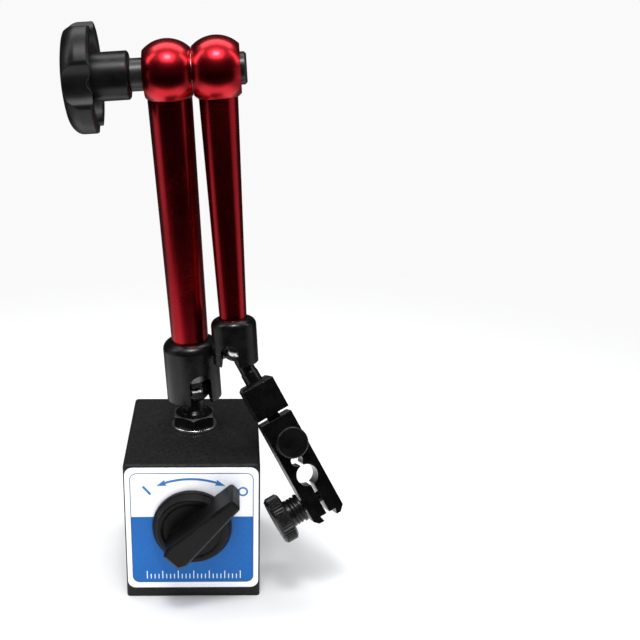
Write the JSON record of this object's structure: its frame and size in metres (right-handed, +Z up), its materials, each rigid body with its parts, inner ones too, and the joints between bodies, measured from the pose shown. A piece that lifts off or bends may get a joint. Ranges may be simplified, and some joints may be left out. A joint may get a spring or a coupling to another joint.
{
  "type": "magnetic base indicator stand",
  "caption": "Switchable magnetic base carrying a folding two-arm central-lock stand with a fine-adjust clamp that holds a dial indicator by its stem or dovetail.",
  "frame": {"origin": "centre of the magnetic base's bottom face", "axes": "+Z up, square to the bottom face; -Y out of the face that carries the switch; +X to the right when looking at that face"},
  "size_m": [0.0998, 0.0755, 0.2071],
  "materials": {
    "black_paint": "fine wrinkle paint",
    "brass": "machined",
    "label": "printed face plate",
    "steel": "machined",
    "bright_steel": "turned bright",
    "black_oxide": "black oxide, satin",
    "black_plastic": "moulded, fine grain",
    "ferrite": "sintered",
    "chrome": "polished",
    "dark_steel": "dark turned",
    "red_anodised": "glossy red anodised",
    "lock_knob_plastic": "moulded, satin"
  },
  "bodies": {
    "magnetic_base": {"pole_block_left": "black_paint", "pole_block_right": "black_paint", "upper_brass_spacer": "brass", "lower_brass_spacer": "brass", "label_plate": "label", "front_bush": "brass", "rear_plug": "black_paint", "stop_pin": "steel", "stud_washer": "bright_steel", "base_stud": "black_oxide"},
    "switch_rotor": {"switch_knob": "black_plastic", "rotor_spindle": "steel", "rotor_magnet": "ferrite", "rotor_pole_shoe_upper": "steel", "rotor_pole_shoe_lower": "steel", "knob_grub_screw": "black_oxide"},
    "lower_ball_body": {"lower_ball": "chrome"},
    "lower_pad_body": {"lower_pressure_pad": "steel"},
    "lower_arm": {"lower_socket": "black_oxide", "lower_arm_tube": "red_anodised", "pressure_sleeve": "dark_steel", "elbow_washer": "steel"},
    "lower_rod_body": {"lower_push_rod": "steel"},
    "draw_bolt_body": {"draw_bolt": "dark_steel"},
    "lock_knob_body": {"lock_knob": "lock_knob_plastic", "lock_knob_insert": "brass"},
    "upper_arm": {"upper_arm_tube": "red_anodised", "upper_socket": "black_oxide"},
    "upper_rod_body": {"upper_push_rod": "steel"},
    "upper_pad_body": {"upper_pressure_pad": "steel"},
    "upper_ball_body": {"upper_ball": "chrome"},
    "clamp_yoke_body": {"upper_ball_stud": "black_oxide", "clamp_yoke": "black_oxide", "pivot_pin": "steel"},
    "clamp_bar_body": {"clamp_bar": "black_oxide"},
    "fine_adjust_body": {"fine_adjust_screw": "black_oxide"},
    "clamp_screw_body": {"clamp_screw": "black_oxide"}
  },
  "joints": [
    {"name": "magnet_switch", "type": "hinge", "parent": "magnetic_base", "child": "switch_rotor", "pos_m": [0, -0.0305, 0.0307], "axis": [0, -1, 0], "range_deg": [0, 90]},
    {"name": "lower_swivel", "type": "hinge", "parent": "magnetic_base", "child": "lower_ball_body", "pos_m": [0, 0.004, 0.072], "axis": [0, 0, 1], "range_deg": [-1, 60]},
    {"name": "lower_tilt", "type": "hinge", "parent": "lower_ball_body", "child": "lower_pad_body", "pos_m": [0, 0.004, 0.072], "axis": [1, 0, 0], "range_deg": [-24, 24]},
    {"name": "lower_roll", "type": "hinge", "parent": "lower_pad_body", "child": "lower_arm", "pos_m": [0, 0.004, 0.072], "axis": [-0.0624, 0, 0.998], "range_deg": [-1, 8]},
    {"name": "lock_knob_turn", "type": "hinge", "parent": "lower_arm", "child": "lock_knob_body", "pos_m": [-0.00741, 0.004, 0.19037], "axis": [0.998, 0, 0.0624], "range_deg": [0, 180]},
    {"name": "draw_bolt_slide", "type": "slide", "parent": "lower_arm", "child": "draw_bolt_body", "axis": [-0.998, 0, -0.0624], "range_m": [0, 0.000625]},
    {"name": "lower_rod_slide", "type": "slide", "parent": "lower_arm", "child": "lower_rod_body", "axis": [0.0624, 0, -0.998], "range_m": [0, 0.0003]},
    {"name": "elbow", "type": "hinge", "parent": "lower_arm", "child": "upper_arm", "pos_m": [-0.00741, 0.004, 0.19037], "axis": [-0.998, 0, -0.0624], "range_deg": [-1, 340]},
    {"name": "upper_rod_slide", "type": "slide", "parent": "upper_arm", "child": "upper_rod_body", "axis": [0.0621, -0.1045, -0.9926], "range_m": [0, 0.0003]},
    {"name": "upper_swivel", "type": "hinge", "parent": "upper_arm", "child": "upper_pad_body", "pos_m": [0.01591, -0.00652, 0.09158], "axis": [-0.0621, 0.1045, 0.9926], "range_deg": [-4, 45]},
    {"name": "upper_tilt", "type": "hinge", "parent": "upper_pad_body", "child": "upper_ball_body", "pos_m": [0.01591, -0.00652, 0.09158], "axis": [-0.3958, -0.9155, 0.0716], "range_deg": [-1, 4]},
    {"name": "clamp_roll", "type": "hinge", "parent": "upper_ball_body", "child": "clamp_yoke_body", "pos_m": [0.01591, -0.00652, 0.09158], "axis": [0.4807, -0.2731, -0.8333], "range_deg": [-150, 30]},
    {"name": "fine_adjust_flex", "type": "hinge", "parent": "clamp_yoke_body", "child": "clamp_bar_body", "pos_m": [0.03171, -0.01507, 0.0639], "axis": [-0.8692, -0.2739, -0.4117], "range_deg": [0, 2.5]},
    {"name": "fine_adjust_turn", "type": "hinge", "parent": "clamp_bar_body", "child": "fine_adjust_body", "pos_m": [0.03544, -0.02232, 0.06086], "axis": [-0.1158, 0.9222, -0.369], "range_deg": [0, 140]},
    {"name": "clamp_screw_turn", "type": "hinge", "parent": "clamp_bar_body", "child": "clamp_screw_body", "pos_m": [0.04106, -0.02568, 0.03581], "axis": [0.8692, 0.2739, 0.4117], "range_deg": [0, 180]}
  ],
  "couplings": [
    {"joint": "draw_bolt_slide", "follows": "lock_knob_turn", "m_per_rad": 0.00019875},
    {"joint": "lower_rod_slide", "follows": "lock_knob_turn", "m_per_rad": 0.000095397},
    {"joint": "upper_rod_slide", "follows": "lock_knob_turn", "m_per_rad": 0.000095397},
    {"joint": "fine_adjust_flex", "follows": "fine_adjust_turn", "ratio": 0.017839}
  ]
}
